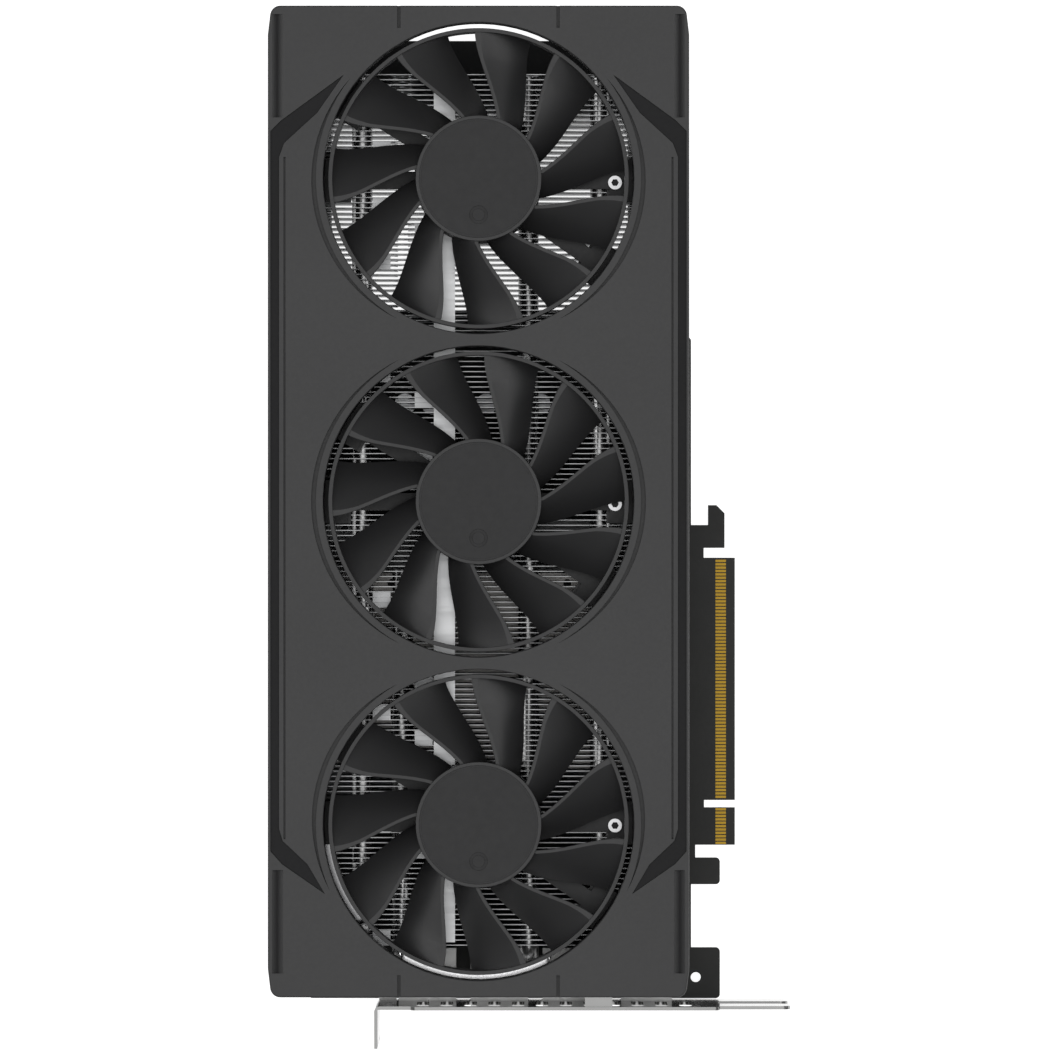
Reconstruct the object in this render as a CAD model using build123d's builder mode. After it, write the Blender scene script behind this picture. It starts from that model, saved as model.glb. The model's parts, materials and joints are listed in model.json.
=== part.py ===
"""Triple-fan graphics card, lying on its backplate with the fans facing +Z.

Millimetres. +X is the side of the card edge connector, +Y is the far end of
the card, -Y is the end with the display sockets. The origin is on the outer
face of the backplate, under the axis of the middle fan.
"""
from build123d import *
import os
from math import cos, radians, sin

os.makedirs("parts", exist_ok=True)

# ---------------------------------------------------------------- dimensions
# Outer shell
SHROUD_WIDTH = 122.4
SHROUD_LENGTH = 288.0
FACE_Z = 50.0                # front face of the shroud, above the backplate's outer face
FACE_THICK = 2.4
WALL = 2.0
CORNER_R = 3.0
END_TAPER = (1.0, 8.5)       # how far the sides draw in at each end, and over what length
LEFT_WALL_Z = 14.0           # lower edges of the shroud walls
RIGHT_WALL_Z = 9.0
FAR_WALL_Z = 20.0
NEAR_WALL_Z = 41.5

# Fans
FAN_PITCH = 93.9
FAN_Y = [FAN_PITCH, 0.0, -FAN_PITCH]
FAN_PHASE = [7.5, 3.75, 8.75]        # resting angle of the first blade
OPENING_R = 45.2
OPENING_BEVEL = 0.2
COLLAR_R = 47.2
COLLAR_Z = 42.5
GROOVE_R = 47.2
GROOVE_WIDTH = 1.4
GROOVE_DEPTH = 1.8
# Left-hand groove spans beside each opening; the right-hand ones mirror them.
GROOVE_SPANS = [(142, 240), (119, 241), (120, 204)]

# Rotor
BLADE_COUNT = 11
HUB_R = 17.8
HUB_WALL_R = 14.2
HUB_Z = (37.6, 49.2)
HUB_TOP_THICK = 1.6
BOSS_Z = 45.8                # underside of the boss that holds the shaft
RING_R = (42.3, 43.4)
RING_Z = (40.2, 48.6)
BLADE_TOP_Z = 48.0
BLADE_DROP = 8.6
BLADE_SAG = 0.62             # how deep the blade bows at mid chord, as a share of the drop
BLADE_THICK = 1.1
BLADE_SWEEP = 18.5           # how far the leading edge turns between hub and ring
SWEEP_POWER = 1.9            # higher values bend the leading edge more near the hub
BLADE_COVER = (24.8, 22.1)   # angle covered at the hub and at the ring
BLADE_STATIONS = (HUB_R - 0.7, 22.0, 26.5, 31.0, 35.4, 39.2, RING_R[0] + 0.15)
SHAFT_R = 1.25
SHAFT_CLEARANCE = 0.02
SHAFT_Z = (36.5, 47.8)
BADGE_R = 16.6
BADGE_THICK = 0.5
MARK_R = (1.7, 2.7)          # plain ring sunk into each badge
MARK_OFFSET = -10.6
MARK_DEPTH = 0.4
YOKE_R = (13.4, HUB_WALL_R)
YOKE_Z = (38.2, 47.0)
MAGNET_R = (11.9, 13.4)
MAGNET_Z = (38.8, 46.0)

# Fan frame and motor
FRAME_Z = (34.0, 36.0)
FRAME_DISC_R = 18.5
ARM_ANGLES = [0, 148, 180, 325]
ARM_WIDTH = 5.0
ARM_END_R = 44.8
SCREW_ANGLES = [-1, 179]     # arms whose tab is screwed down
TAB_WIDTH = 12.6             # each arm ends in a wide tab
TAB_R = 38.3
LEDGE_Z = (32.0, 34.0)
LEDGE_R = 37.4
FAN_SCREW_R = 39.8
SCREW_SHANK_R = 1.0
SCREW_HEAD_R = 2.0
SCREW_HEAD_THICK = 1.3
RECESS_R = 1.1
RECESS_DEPTH = 1.0
BEARING_R = 2.9
BEARING_TUBE_R = 3.8
BEARING_Z = (36.0, 45.2)
BOARD_R = 11.0
BOARD_Z = (36.0, 37.0)
STATOR_R = 11.4
STATOR_Z = (38.6, 44.6)
STATOR_POLES = 4

# Heatsink
FIN_WIDTH = 112.8
FIN_Z = (12.0, 31.6)
FIN_PITCH = 1.5
FIN_THICK = 0.24
FIN_Y = (-130.0, 126.0)
FIN_COUNT = int((FIN_Y[1] - FIN_Y[0]) / FIN_PITCH) + 1
FIN_TAB_COLUMNS = [(-28.5, 0), (-16.2, 6)]   # place of each column of folds, first fin
FIN_TAB_WIDTH = 5.2
FIN_TAB_EVERY = 11           # fins from one run of folds to the next
FIN_TAB_RUN = 3
FIN_NOTCH = (14.0, 4.6)       # depth and height of the room for the power sockets
PIPE_R = 3.0
PIPE_LOW_Z = 15.05           # run that lies on the cold plate
PIPE_HIGH_Z = 25.05          # run that returns through the fins
PIPE_START_Y = -20.0
PIPE_BEND_Y = -131.0
PIPE_RUNS = [(-34.3, 124.5), (-22.6, -47.0), (14.5, 124.5), (35.6, 124.5)]   # X, far end
PIPE_CLEARANCE = 0.05
BAR_X = (-13.2, -7.0)
BAR_THICK = 1.0
BAR_Y = (-129.0, 121.0)

# Circuit board
PCB_Z = (3.6, 5.2)
PCB_LEFT = -50.0
PCB_RIGHT = 62.75
PCB_FAR = 49.0
PCB_NEAR = -147.2
EDGE_X = 75.75               # tip of the card edge connector
EDGE_LONG = (-88.4, -16.5)
EDGE_SHORT = (-101.7, -90.6)
CONTACT_X = (70.0, 73.1)
CONTACT_PITCH = 1.0
CONTACT_WIDTH = 0.7
CONTACT_THICK = 0.05
HOLE_POS = (64.15, -141.0)
HOLE_R = 1.5

GPU_Y = -50.0
GPU_SIZE = 45.0
GPU_Z = (PCB_Z[1], 6.4)
DIE_SIZE = (26.0, 22.0)
DIE_Z = (6.4, 7.2)
COLD_SIZE = 58.0
COLD_Z = (7.2, 12.0)
COLD_WING_Z = 9.6            # underside of the wings that carry the outer pipes
COLD_WING_X = 84.0
CLAMP_SPACING = 52.0
PLATE_Z = (8.0, 9.5)
PLATE_SIZE = 90.0
PLATE_WINDOW = 59.0
MEMORY_SIZE = (12.0, 14.0, 1.1)
MEMORY_OFFSET = 37.0
PAD_Z = (PCB_Z[1] + MEMORY_SIZE[2], PLATE_Z[0])

# Board fixings
POST_R = 2.8
SCREW_R = 1.2
SPACER_Z = (1.5, PCB_Z[0])
POST_Z = (PCB_Z[1], PLATE_Z[0])
BOARD_SCREWS = [(-40, -8), (40, -8), (-40, -92), (40, -92), (-38, 43), (38, 43)]
SHELL_SCREWS = [(-53, 133), (53, 133)]
REAR_POST = (-46, -137)
BACK_SCREW_TOP = 7.6

# Backplate
BACK_THICK = 1.5
BACK_X = 60.0
BACK_Y = (-144.0, 137.1)
BACK_WINDOW = (88.0, 54.5)
BACK_WINDOW_Y = 84.25

# Bracket and sockets
BRACKET_Y = (-148.5, -147.5)
BRACKET_X = (-30.6, 70.4)
BRACKET_STEP_X = -19.9
FOLD_R = 1.6                 # outside radius of the folded tab
BRACKET_Z = (0.6, 39.3)
TONGUE_X = 91.2
TAB_END_Y = -159.9
PORT_X = [-15.4, 5.9, 27.2]
HDMI_X = 49.4
PORT_SIZE = (17.0, 6.0)
HDMI_SIZE = (15.0, 6.0)
PORT_Y = (-149.3, -132.0)
PORT_WALL = 0.5

# Power sockets
SOCKET_Y = [12.0, 34.0]
SOCKET_X = (-58.0, -44.0)
SOCKET_HEIGHT = 9.6
CELL_PITCH = 4.2
CELL_SIZE = 3.4
CELL_DEPTH = 10.0

# Fan leads
LEAD_R = 0.9
LEAD_X = -57.9
LEAD_Z = 35.05
HEADER_X = (-49.5, -45.5)
HEADER_Y = [46.9, -12.0, -18.0]


def save(builder, name):
    """Label a finished piece and write it to its own file."""
    builder.part.label = name
    export_step(builder.part, f"parts/{name}.step")


def polar(radius, angle, y=0.0):
    """Point at a radius and angle about a fan axis."""
    return (radius * cos(radians(angle)), y + radius * sin(radians(angle)))


def height(z_range):
    return z_range[1] - z_range[0]


# -------------------------------------------------------------------- shroud
TRIM_OUTLINE = [
    (-39.5, 123.5), (-46.9, 112.9), (-56.5, 104.1), (-58.0, 100.0),
    (-58.0, -95.0), (-56.9, -98.6), (-49.7, -105.4), (-44.9, -113.6),
    (-57.0, -105.2), (-60.3, -101.5), (-60.3, 107.5), (-57.3, 110.5),
]
TRIM_GAP = 0.1
TRIM_FLOOR_Z = 48.6
TRIM_TOP_Z = 49.6


def trim_sketch(z, grow=0.0):
    """Left-hand accent outline at a height, grown by a clearance."""
    with BuildSketch(Plane.XY.offset(z)) as outline:
        with BuildLine():
            Polyline(*TRIM_OUTLINE, close=True)
        make_face()
        if grow:
            offset(amount=grow, kind=Kind.INTERSECTION)
    return outline.sketch


def groove_sketch(y, span, z):
    """Crescent between two arcs that share their end points."""
    start, end = span
    middle = (start + end) / 2
    with BuildSketch(Plane.XY.offset(z)) as crescent:
        with BuildLine():
            ThreePointArc(polar(GROOVE_R, start, y), polar(GROOVE_R, middle, y),
                          polar(GROOVE_R, end, y))
            ThreePointArc(polar(GROOVE_R, start, y),
                          polar(GROOVE_R + GROOVE_WIDTH, middle, y),
                          polar(GROOVE_R, end, y))
        make_face()
    return crescent.sketch


SLIT_X = 23.1
SLIT_SIZE = (1.0, 6.5)
SLIT_DEPTH = 1.6
EDGE_FILLET = 0.5
BOSS_POS = (35.0, -141.5)    # boss and flange of the upper bracket screw
BOSS_R = 2.4
UPPER_FLANGE_Z = (BRACKET_Z[1] - 1.9, BRACKET_Z[1] - 0.9)
SIDE_GROOVE_X = (56.7, 58.5, 60.0)    # inner edge, bottom and outer edge of the valley
SIDE_GROOVE_DEPTH = 1.4
SIDE_GROOVE_LENGTH = 30.0
SIDE_GROOVE_Y = (126.5, -122.0)
LINE_GROOVE_X = 56.3
LINE_GROOVE_SIZE = (0.6, 198.0, 2.4)
WINDOW_SIZE = (24.0, 12.0)
WINDOW_PITCH = 29.5
WINDOW_COUNT = 9
WINDOW_Z = 24.0
SOCKET_CUT_Y = (-1.0, 47.0)
SOCKET_CUT_Z = 17.0

with BuildPart() as shroud:
    half_width, half_length = SHROUD_WIDTH / 2, SHROUD_LENGTH / 2
    with BuildSketch() as plan:
        Rectangle(SHROUD_WIDTH, SHROUD_LENGTH - 2 * END_TAPER[1])
        for y in (-1, 1):
            with BuildLine():
                Polyline((-half_width, y * (half_length - END_TAPER[1])),
                         (END_TAPER[0] - half_width, y * half_length),
                         (half_width - END_TAPER[0], y * half_length),
                         (half_width, y * (half_length - END_TAPER[1])), close=True)
            make_face()
        ends = plan.vertices().group_by(Axis.Y)
        fillet(ends[0] + ends[-1], radius=CORNER_R)
    extrude(amount=FACE_Z)
    fillet(shroud.edges().group_by(Axis.Z)[-1], radius=EDGE_FILLET)
    with BuildSketch():
        RectangleRounded(SHROUD_WIDTH - 2 * WALL, SHROUD_LENGTH - 2 * WALL, 1.5)
    extrude(amount=FACE_Z - FACE_THICK, mode=Mode.SUBTRACT)
    # Lower edge of each wall
    for x, wall_z in [(-1, LEFT_WALL_Z), (1, RIGHT_WALL_Z)]:
        with Locations((x * SHROUD_WIDTH / 2, 0, 0)):
            Box(4 * WALL, 2 * SHROUD_LENGTH, 2 * wall_z, mode=Mode.SUBTRACT)
    for y, wall_z in [(1, FAR_WALL_Z), (-1, NEAR_WALL_Z)]:
        with Locations((0, y * SHROUD_LENGTH / 2, 0)):
            Box(2 * SHROUD_WIDTH, 4 * WALL, 2 * wall_z, mode=Mode.SUBTRACT)
    # Air windows along both sides
    with Locations((0, 0, WINDOW_Z)):
        with GridLocations(0, WINDOW_PITCH, 1, WINDOW_COUNT):
            Box(2 * SHROUD_WIDTH, *WINDOW_SIZE, mode=Mode.SUBTRACT)
    # Cut-out over the power sockets
    with Locations((-SHROUD_WIDTH / 2, sum(SOCKET_CUT_Y) / 2, LEFT_WALL_Z)):
        Box(4 * WALL, height(SOCKET_CUT_Y), 2 * (SOCKET_CUT_Z - LEFT_WALL_Z),
            mode=Mode.SUBTRACT)
    # Fan lips, collars and openings
    for y in FAN_Y:
        with BuildSketch(Plane.XY.offset(COLLAR_Z)):
            with Locations((0, y)):
                Circle(COLLAR_R)
        extrude(amount=FACE_Z - 1.0 - COLLAR_Z)
        # Ledges that carry the fan frame
        for angle in ARM_ANGLES:
            with BuildSketch(Plane.XY.offset(LEDGE_Z[0])):
                with Locations((0, y)):
                    with PolarLocations((LEDGE_R + COLLAR_R) / 2, 1, start_angle=angle):
                        Rectangle(COLLAR_R - LEDGE_R, TAB_WIDTH)
            extrude(amount=COLLAR_Z - LEDGE_Z[0])
    for y in FAN_Y:
        with BuildSketch(Plane.XY.offset(LEDGE_Z[1])):
            with Locations((0, y)):
                Circle(OPENING_R)
        extrude(amount=FACE_Z, mode=Mode.SUBTRACT)
        with Locations((0, y, FACE_Z)):
            Cone(OPENING_R, OPENING_R + OPENING_BEVEL, OPENING_BEVEL,
                 align=(Align.CENTER, Align.CENTER, Align.MAX), mode=Mode.SUBTRACT)
        for angle in SCREW_ANGLES:
            with Locations((*polar(FAN_SCREW_R, angle, y), LEDGE_Z[0])):
                Cylinder(SCREW_SHANK_R, 20, mode=Mode.SUBTRACT)
    # Crescent grooves beside the openings
    for y, span in zip(FAN_Y, GROOVE_SPANS):
        mirrored = (180 - span[1], 180 - span[0])
        for side in (span, mirrored):
            extrude(groove_sketch(y, side, FACE_Z - GROOVE_DEPTH), amount=GROOVE_DEPTH,
                    mode=Mode.SUBTRACT)
    # Recesses for the accents, side grooves and end slits
    recess = trim_sketch(TRIM_FLOOR_Z, TRIM_GAP)
    extrude(recess, amount=3, mode=Mode.SUBTRACT)
    extrude(mirror(recess, about=Plane.YZ, mode=Mode.PRIVATE), amount=3,
            mode=Mode.SUBTRACT)
    for x in (-1, 1):
        inner, bottom, outer = (x * edge for edge in SIDE_GROOVE_X)
        for y in SIDE_GROOVE_Y:
            with BuildSketch(Plane.XZ.offset(-y)):
                with BuildLine():
                    Polyline((inner, FACE_Z), (bottom, FACE_Z - SIDE_GROOVE_DEPTH),
                             (outer, FACE_Z), close=True)
                make_face()
            extrude(amount=SIDE_GROOVE_LENGTH / 2, both=True, mode=Mode.SUBTRACT)
        with Locations((x * LINE_GROOVE_X, 1.0, FACE_Z)):
            Box(*LINE_GROOVE_SIZE, mode=Mode.SUBTRACT)
        for y in (-1, 1):
            with Locations((x * SLIT_X, y * (SHROUD_LENGTH - SLIT_SIZE[1]) / 2, FACE_Z)):
                Box(*SLIT_SIZE, 2 * SLIT_DEPTH, mode=Mode.SUBTRACT)
    # Boss for the upper bracket screw
    with BuildSketch(Plane.XY.offset(UPPER_FLANGE_Z[1])):
        with Locations(BOSS_POS):
            Circle(BOSS_R)
    extrude(amount=FACE_Z - FACE_THICK + 0.5 - UPPER_FLANGE_Z[1])
    with Locations((*BOSS_POS, BRACKET_Z[1])):
        Cylinder(SCREW_SHANK_R, 9, mode=Mode.SUBTRACT)
save(shroud, "shroud")

with BuildPart() as side_trim_left:
    extrude(trim_sketch(TRIM_FLOOR_Z), amount=TRIM_TOP_Z - TRIM_FLOOR_Z)
save(side_trim_left, "side_trim_left")

with BuildPart() as side_trim_right:
    mirror(side_trim_left.part, about=Plane.YZ)
save(side_trim_right, "side_trim_right")


# ---------------------------------------------------------------------- fans
def blade_section(radius):
    """Blade profile on the plane that touches a cylinder about the fan axis."""
    span = (radius - HUB_R) / (RING_R[0] - HUB_R)
    cover = BLADE_COVER[0] + span * (BLADE_COVER[1] - BLADE_COVER[0])
    sweep = BLADE_SWEEP * (1 - max(0.0, 1 - span) ** SWEEP_POWER)
    chord = radius * radians(cover)
    middle = radians(sweep - cover / 2)
    plane = Plane(origin=(radius * cos(middle), radius * sin(middle), 0),
                  x_dir=(-sin(middle), cos(middle), 0),
                  z_dir=(-cos(middle), -sin(middle), 0))
    up = 1 if plane.y_dir.Z > 0 else -1
    front, back = chord / 2, -chord / 2
    low = BLADE_TOP_Z - BLADE_DROP
    sag = BLADE_TOP_Z - BLADE_DROP * BLADE_SAG
    with BuildSketch(plane) as section:
        with BuildLine():
            Polyline((back, up * low), (back, up * (low + 0.6)))
            ThreePointArc((back, up * (low + 0.6)), (0, up * (sag + BLADE_THICK)),
                          (front, up * BLADE_TOP_Z))
            Polyline((front, up * BLADE_TOP_Z), (front, up * (BLADE_TOP_Z - BLADE_THICK)))
            ThreePointArc((front, up * (BLADE_TOP_Z - BLADE_THICK)), (0, up * sag),
                          (back, up * low))
        make_face()
    return section.sketch


with BuildPart() as blade:
    for radius in BLADE_STATIONS:
        add(blade_section(radius))
    loft(ruled=True)

with BuildPart() as rotor:
    with BuildSketch(Plane.XY.offset(HUB_Z[0])):
        Circle(HUB_R)
        Circle(HUB_WALL_R, mode=Mode.SUBTRACT)
    extrude(amount=height(HUB_Z) - 0.2)
    with BuildSketch(Plane.XY.offset(HUB_Z[1] - HUB_TOP_THICK - BADGE_THICK)):
        Circle(HUB_R - 0.2)
    extrude(amount=HUB_TOP_THICK)
    with BuildSketch(Plane.XY.offset(BOSS_Z)):
        Circle(BEARING_R)
    extrude(amount=HUB_Z[1] - HUB_TOP_THICK - BOSS_Z)
    with BuildSketch(Plane.XY.offset(RING_Z[0])):
        Circle(RING_R[1])
        Circle(RING_R[0], mode=Mode.SUBTRACT)
    extrude(amount=height(RING_Z))
    with PolarLocations(0, BLADE_COUNT):
        add(blade.part)
    # Seats of the badge and of the shaft
    with BuildSketch(Plane.XY.offset(HUB_Z[1] - BADGE_THICK)):
        Circle(BADGE_R + 0.05)
    extrude(amount=2, mode=Mode.SUBTRACT)
    with BuildSketch(Plane.XY.offset(BOSS_Z)):
        Circle(SHAFT_R)
    extrude(amount=SHAFT_Z[1] - BOSS_Z, mode=Mode.SUBTRACT)

for number, (fan_y, phase) in enumerate(zip(FAN_Y, FAN_PHASE), start=1):
    spot = Location((0, fan_y, 0), (0, 0, phase))
    with BuildPart() as fan_rotor:
        with Locations(spot):
            add(rotor.part)
    save(fan_rotor, f"fan_rotor_{number}")

    with BuildPart() as hub_badge:
        with BuildSketch(Plane.XY.offset(HUB_Z[1] - BADGE_THICK)):
            with Locations((0, fan_y)):
                Circle(BADGE_R)
        extrude(amount=BADGE_THICK)
        with BuildSketch(Plane.XY.offset(HUB_Z[1] - MARK_DEPTH)):
            with Locations((0, fan_y + MARK_OFFSET)):
                Circle(MARK_R[1])
                Circle(MARK_R[0], mode=Mode.SUBTRACT)
        extrude(amount=MARK_DEPTH, mode=Mode.SUBTRACT)
    save(hub_badge, f"hub_badge_{number}")

    with BuildPart() as shaft:
        with BuildSketch(Plane.XY.offset(SHAFT_Z[0])):
            with Locations((0, fan_y)):
                Circle(SHAFT_R)
        extrude(amount=height(SHAFT_Z))
        chamfer(shaft.edges().group_by(Axis.Z)[0], length=0.3)
    save(shaft, f"shaft_{number}")

    with BuildPart() as rotor_yoke:
        with BuildSketch(Plane.XY.offset(YOKE_Z[0])):
            with Locations((0, fan_y)):
                Circle(YOKE_R[1])
                Circle(YOKE_R[0], mode=Mode.SUBTRACT)
        extrude(amount=height(YOKE_Z))
    save(rotor_yoke, f"rotor_yoke_{number}")

    with BuildPart() as magnet_ring:
        with BuildSketch(Plane.XY.offset(MAGNET_Z[0])):
            with Locations((0, fan_y)):
                Circle(MAGNET_R[1])
                Circle(MAGNET_R[0], mode=Mode.SUBTRACT)
        extrude(amount=height(MAGNET_Z))
    save(magnet_ring, f"magnet_ring_{number}")

    with BuildPart() as fan_frame:
        with BuildSketch(Plane.XY.offset(FRAME_Z[0])):
            with Locations((0, fan_y)):
                Circle(FRAME_DISC_R)
            for angle in ARM_ANGLES:
                with Locations((0, fan_y)):
                    with PolarLocations(ARM_END_R / 2, 1, start_angle=angle):
                        Rectangle(ARM_END_R, ARM_WIDTH)
            for angle in ARM_ANGLES:
                with Locations((0, fan_y)):
                    with PolarLocations((TAB_R + ARM_END_R) / 2, 1, start_angle=angle):
                        Rectangle(ARM_END_R - TAB_R, TAB_WIDTH)
        extrude(amount=height(FRAME_Z))
        with BuildSketch(Plane.XY.offset(BEARING_Z[0])):
            with Locations((0, fan_y)):
                Circle(BEARING_TUBE_R)
        extrude(amount=height(BEARING_Z))
        with BuildSketch(Plane.XY.offset(BEARING_Z[0] - 0.6)):
            with Locations((0, fan_y)):
                Circle(BEARING_R)
        extrude(amount=height(BEARING_Z) + 1, mode=Mode.SUBTRACT)
        for angle in SCREW_ANGLES:
            with Locations((*polar(FAN_SCREW_R, angle, fan_y), FRAME_Z[0])):
                Cylinder(SCREW_SHANK_R + 0.1, 10, mode=Mode.SUBTRACT)
    save(fan_frame, f"fan_frame_{number}")

    with BuildPart() as motor_stator:
        with BuildSketch(Plane.XY.offset(STATOR_Z[0])):
            with Locations((0, fan_y)):
                Circle(STATOR_R)
                Circle(STATOR_R - 1.6, mode=Mode.SUBTRACT)
                Circle(6.2)
                with PolarLocations(8.0, STATOR_POLES, start_angle=45):
                    Rectangle(5.0, 5.4)
                with PolarLocations(STATOR_R, STATOR_POLES):
                    Rectangle(4.0, 1.6, mode=Mode.SUBTRACT)
                Circle(BEARING_TUBE_R, mode=Mode.SUBTRACT)
        extrude(amount=height(STATOR_Z))
    save(motor_stator, f"motor_stator_{number}")

with BuildPart() as bearing_sleeves:
    for y in FAN_Y:
        with BuildSketch(Plane.XY.offset(BEARING_Z[0])):
            with Locations((0, y)):
                Circle(BEARING_R)
                Circle(SHAFT_R + SHAFT_CLEARANCE, mode=Mode.SUBTRACT)
        extrude(amount=height(BEARING_Z))
save(bearing_sleeves, "bearing_sleeves")

with BuildPart() as motor_boards:
    for y in FAN_Y:
        with BuildSketch(Plane.XY.offset(BOARD_Z[0])):
            with Locations((0, y)):
                Circle(BOARD_R)
                Circle(BEARING_TUBE_R, mode=Mode.SUBTRACT)
        extrude(amount=height(BOARD_Z))
save(motor_boards, "motor_boards")

with BuildPart() as fan_screws:
    for y in FAN_Y:
        for angle in SCREW_ANGLES:
            spot = polar(FAN_SCREW_R, angle, y)
            with BuildSketch(Plane.XY.offset(LEDGE_Z[0] + 0.2)):
                with Locations(spot):
                    Circle(SCREW_SHANK_R)
            extrude(amount=FRAME_Z[1] - LEDGE_Z[0])
            with BuildSketch(Plane.XY.offset(FRAME_Z[1])):
                with Locations(spot):
                    Circle(SCREW_HEAD_R)
            extrude(amount=SCREW_HEAD_THICK)
            with BuildSketch(Plane.XY.offset(FRAME_Z[1] + SCREW_HEAD_THICK - RECESS_DEPTH)):
                with Locations(spot):
                    RegularPolygon(RECESS_R, 6)
            extrude(amount=RECESS_DEPTH, mode=Mode.SUBTRACT)
save(fan_screws, "fan_screws")

# ----------------------------------------------------------------- fan leads
LEAD_OFFSET = 7.4            # beside the screwed tab of the frame
LEAD_START_R = FRAME_DISC_R + 1.0
LEAD_TURN_R = 3.0
LEAD_END_Z = PCB_Z[1] + 3.0


def lead_points(fan_y, header_y):
    """Route of one lead: beside the arm, along the wall, down to its header."""
    start_x = -(LEAD_START_R ** 2 - LEAD_OFFSET ** 2) ** 0.5
    start_y = fan_y + LEAD_OFFSET
    return [(start_x, start_y, LEAD_Z), (LEAD_X, start_y, LEAD_Z), (LEAD_X, header_y, LEAD_Z),
            (LEAD_X, header_y, LEAD_END_Z), (HEADER_X[0], header_y, LEAD_END_Z)]


with BuildPart() as fan_leads:
    for fan_y, header_y in zip(FAN_Y, HEADER_Y):
        points = lead_points(fan_y, header_y)
        with BuildLine() as route:
            FilletPolyline(*points, radius=LEAD_TURN_R)
        with BuildSketch(Plane(origin=points[0], z_dir=(-1, 0, 0))):
            Circle(LEAD_R)
        sweep(path=route.wires()[0])
save(fan_leads, "fan_leads")

with BuildPart() as fan_headers:
    for y in HEADER_Y:
        with BuildSketch(Plane.XY.offset(PCB_Z[1])):
            with Locations((sum(HEADER_X) / 2, y)):
                Rectangle(height(HEADER_X), 3.6)
        extrude(amount=5.0)
save(fan_headers, "fan_headers")

# ------------------------------------------------------------------ heatsink
with BuildPart() as fin:
    with BuildSketch(Plane.XZ):
        with Locations((0, sum(FIN_Z) / 2)):
            Rectangle(FIN_WIDTH, height(FIN_Z))
        # Each pipe lies in a round seat that is open towards the cold plate
        for x, _ in PIPE_RUNS:
            with Locations((x, PIPE_LOW_Z), (x, PIPE_HIGH_Z)):
                Circle(PIPE_R + PIPE_CLEARANCE, mode=Mode.SUBTRACT)
            with Locations((x, FIN_Z[0])):
                Rectangle(PIPE_R, PIPE_R, mode=Mode.SUBTRACT)
    extrude(amount=-FIN_THICK)

with BuildPart() as cooling_fins:
    with Locations(*[(0, FIN_Y[0] + n * FIN_PITCH, 0) for n in range(FIN_COUNT)]):
        add(fin.part)
    # Folds that reach over to the next fin
    for x, first in FIN_TAB_COLUMNS:
        folded = [n for n in range(FIN_COUNT) if (n - first) % FIN_TAB_EVERY < FIN_TAB_RUN]
        with Locations(*[(x, FIN_Y[0] + n * FIN_PITCH + FIN_THICK, FIN_Z[1]) for n in folded]):
            Box(FIN_TAB_WIDTH, FIN_PITCH - FIN_THICK - PIPE_CLEARANCE, FIN_THICK,
                align=(Align.CENTER, Align.MIN, Align.MAX))
    # Room for the power sockets
    with Locations((-FIN_WIDTH / 2, sum(SOCKET_CUT_Y) / 2, FIN_Z[0])):
        Box(2 * FIN_NOTCH[0], height(SOCKET_CUT_Y), 2 * FIN_NOTCH[1], mode=Mode.SUBTRACT)
save(cooling_fins, "cooling_fins")

with BuildPart() as heatsink_bar:
    with BuildSketch(Plane.XY.offset(FIN_Z[1])):
        with Locations((sum(BAR_X) / 2, sum(BAR_Y) / 2)):
            Rectangle(height(BAR_X), height(BAR_Y))
    extrude(amount=BAR_THICK)
save(heatsink_bar, "heatsink_bar")

for number, (x, end_y) in enumerate(PIPE_RUNS, start=1):
    bend_r = (PIPE_HIGH_Z - PIPE_LOW_Z) / 2
    with BuildPart() as heat_pipe:
        with BuildLine(Plane.YZ.offset(x)) as route:
            Line((PIPE_START_Y, PIPE_LOW_Z), (PIPE_BEND_Y, PIPE_LOW_Z))
            ThreePointArc((PIPE_BEND_Y, PIPE_LOW_Z),
                          (PIPE_BEND_Y - bend_r, (PIPE_LOW_Z + PIPE_HIGH_Z) / 2),
                          (PIPE_BEND_Y, PIPE_HIGH_Z))
            Line((PIPE_BEND_Y, PIPE_HIGH_Z), (end_y, PIPE_HIGH_Z))
        with BuildSketch(Plane(origin=(x, PIPE_START_Y, PIPE_LOW_Z), z_dir=(0, -1, 0))):
            Circle(PIPE_R)
        sweep(path=route.wires()[0])
    save(heat_pipe, f"heat_pipe_{number}")

with BuildPart() as cold_plate:
    with BuildSketch(Plane.XY.offset(COLD_Z[0])):
        with Locations((0, GPU_Y)):
            RectangleRounded(COLD_SIZE, COLD_SIZE, 2.0)
            with GridLocations(CLAMP_SPACING, CLAMP_SPACING, 2, 2):
                Circle(SCREW_R, mode=Mode.SUBTRACT)
    extrude(amount=height(COLD_Z))
    with BuildSketch(Plane.XY.offset(COLD_WING_Z)):
        with Locations((0, GPU_Y)):
            RectangleRounded(COLD_WING_X, COLD_SIZE, 2.0)
            with GridLocations(CLAMP_SPACING, CLAMP_SPACING, 2, 2):
                Circle(SCREW_R, mode=Mode.SUBTRACT)
    extrude(amount=COLD_Z[1] - COLD_WING_Z)
save(cold_plate, "cold_plate")

with BuildPart() as memory_plate:
    with BuildSketch(Plane.XY.offset(PLATE_Z[0])):
        with Locations((0, GPU_Y)):
            RectangleRounded(PLATE_SIZE, PLATE_SIZE, 3.0)
            RectangleRounded(PLATE_WINDOW, PLATE_WINDOW, 2.0, mode=Mode.SUBTRACT)
        with Locations(*BOARD_SCREWS[:4]):
            Circle(SCREW_R + 0.1, mode=Mode.SUBTRACT)
    extrude(amount=height(PLATE_Z))
save(memory_plate, "memory_plate")

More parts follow.
